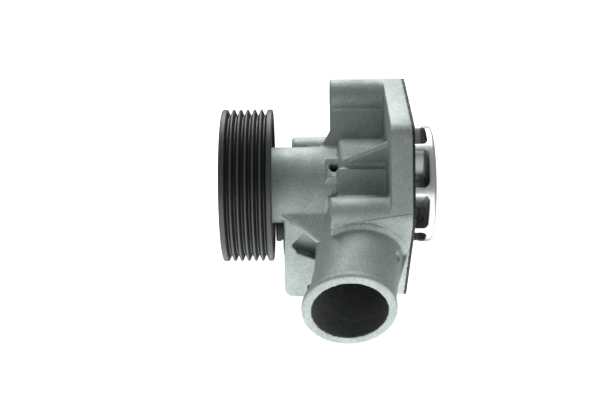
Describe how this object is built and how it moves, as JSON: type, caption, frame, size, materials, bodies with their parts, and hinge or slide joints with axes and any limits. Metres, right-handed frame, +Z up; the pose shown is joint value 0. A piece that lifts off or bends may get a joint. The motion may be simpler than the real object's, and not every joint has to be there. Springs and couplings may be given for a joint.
{
  "type": "water pump",
  "caption": "Belt-driven engine water pump: cast housing with angled hose inlet, ribbed pulley, sealed shaft bearing, face seal and open vaned impeller.",
  "frame": {"origin": "on the shaft axis at the housing's gasket face", "axes": "+X along the shaft from the pulley to the impeller, +Z up towards the top bolt boss, the inlet nozzle towards -Y and -Z"},
  "size_m": [0.1076, 0.1266, 0.1296],
  "materials": {
    "cast_aluminium": "shot-blasted casting with machined faces",
    "black_steel": "dark oxide coated steel, worn bright on the crests",
    "bright_steel": "ground bearing steel",
    "light_aluminium": "fine cast aluminium, turned rim",
    "gasket_black": "coated gasket sheet",
    "black_plastic": "moulded plug",
    "cage_plastic": "glass-filled nylon cage",
    "seal_rubber": "moulded rubber",
    "seal_brass": "pressed brass shell",
    "spring_steel": "drawn spring wire",
    "carbon": "lapped carbon",
    "ceramic": "lapped white ceramic"
  },
  "bodies": {
    "housing_group": {"housing": "cast_aluminium", "leak_plug": "black_plastic", "gasket": "gasket_black", "bearing_outer_ring": "bright_steel", "bearing_front_seal": "seal_rubber", "bearing_rear_seal": "seal_rubber", "seal_shell": "seal_brass", "seal_bellows": "seal_rubber", "seal_spring": "spring_steel", "spring_seat": "seal_brass", "carbon_ring": "carbon"},
    "rotor": {"shaft": "bright_steel", "pulley": "black_steel", "slinger": "seal_rubber", "impeller": "light_aluminium", "ceramic_seat": "ceramic", "seat_boot": "seal_rubber"},
    "ball_set": {"bearing_balls": "bright_steel", "ball_cage": "cage_plastic"},
    "roller_set": {"bearing_rollers": "bright_steel", "roller_cage": "cage_plastic"}
  },
  "joints": [
    {"name": "rotor_spin", "type": "hinge", "parent": "housing_group", "child": "rotor", "pos_m": [-0.06, 0, 0], "axis": [1, 0, 0], "continuous": true},
    {"name": "ball_set_spin", "type": "hinge", "parent": "housing_group", "child": "ball_set", "pos_m": [-0.07, 0, 0], "axis": [1, 0, 0], "continuous": true},
    {"name": "roller_set_spin", "type": "hinge", "parent": "housing_group", "child": "roller_set", "pos_m": [-0.0515, 0, 0], "axis": [1, 0, 0], "continuous": true}
  ],
  "couplings": [
    {"joint": "ball_set_spin", "follows": "rotor_spin", "ratio": 0.3625},
    {"joint": "roller_set_spin", "follows": "rotor_spin", "ratio": 0.4023}
  ]
}
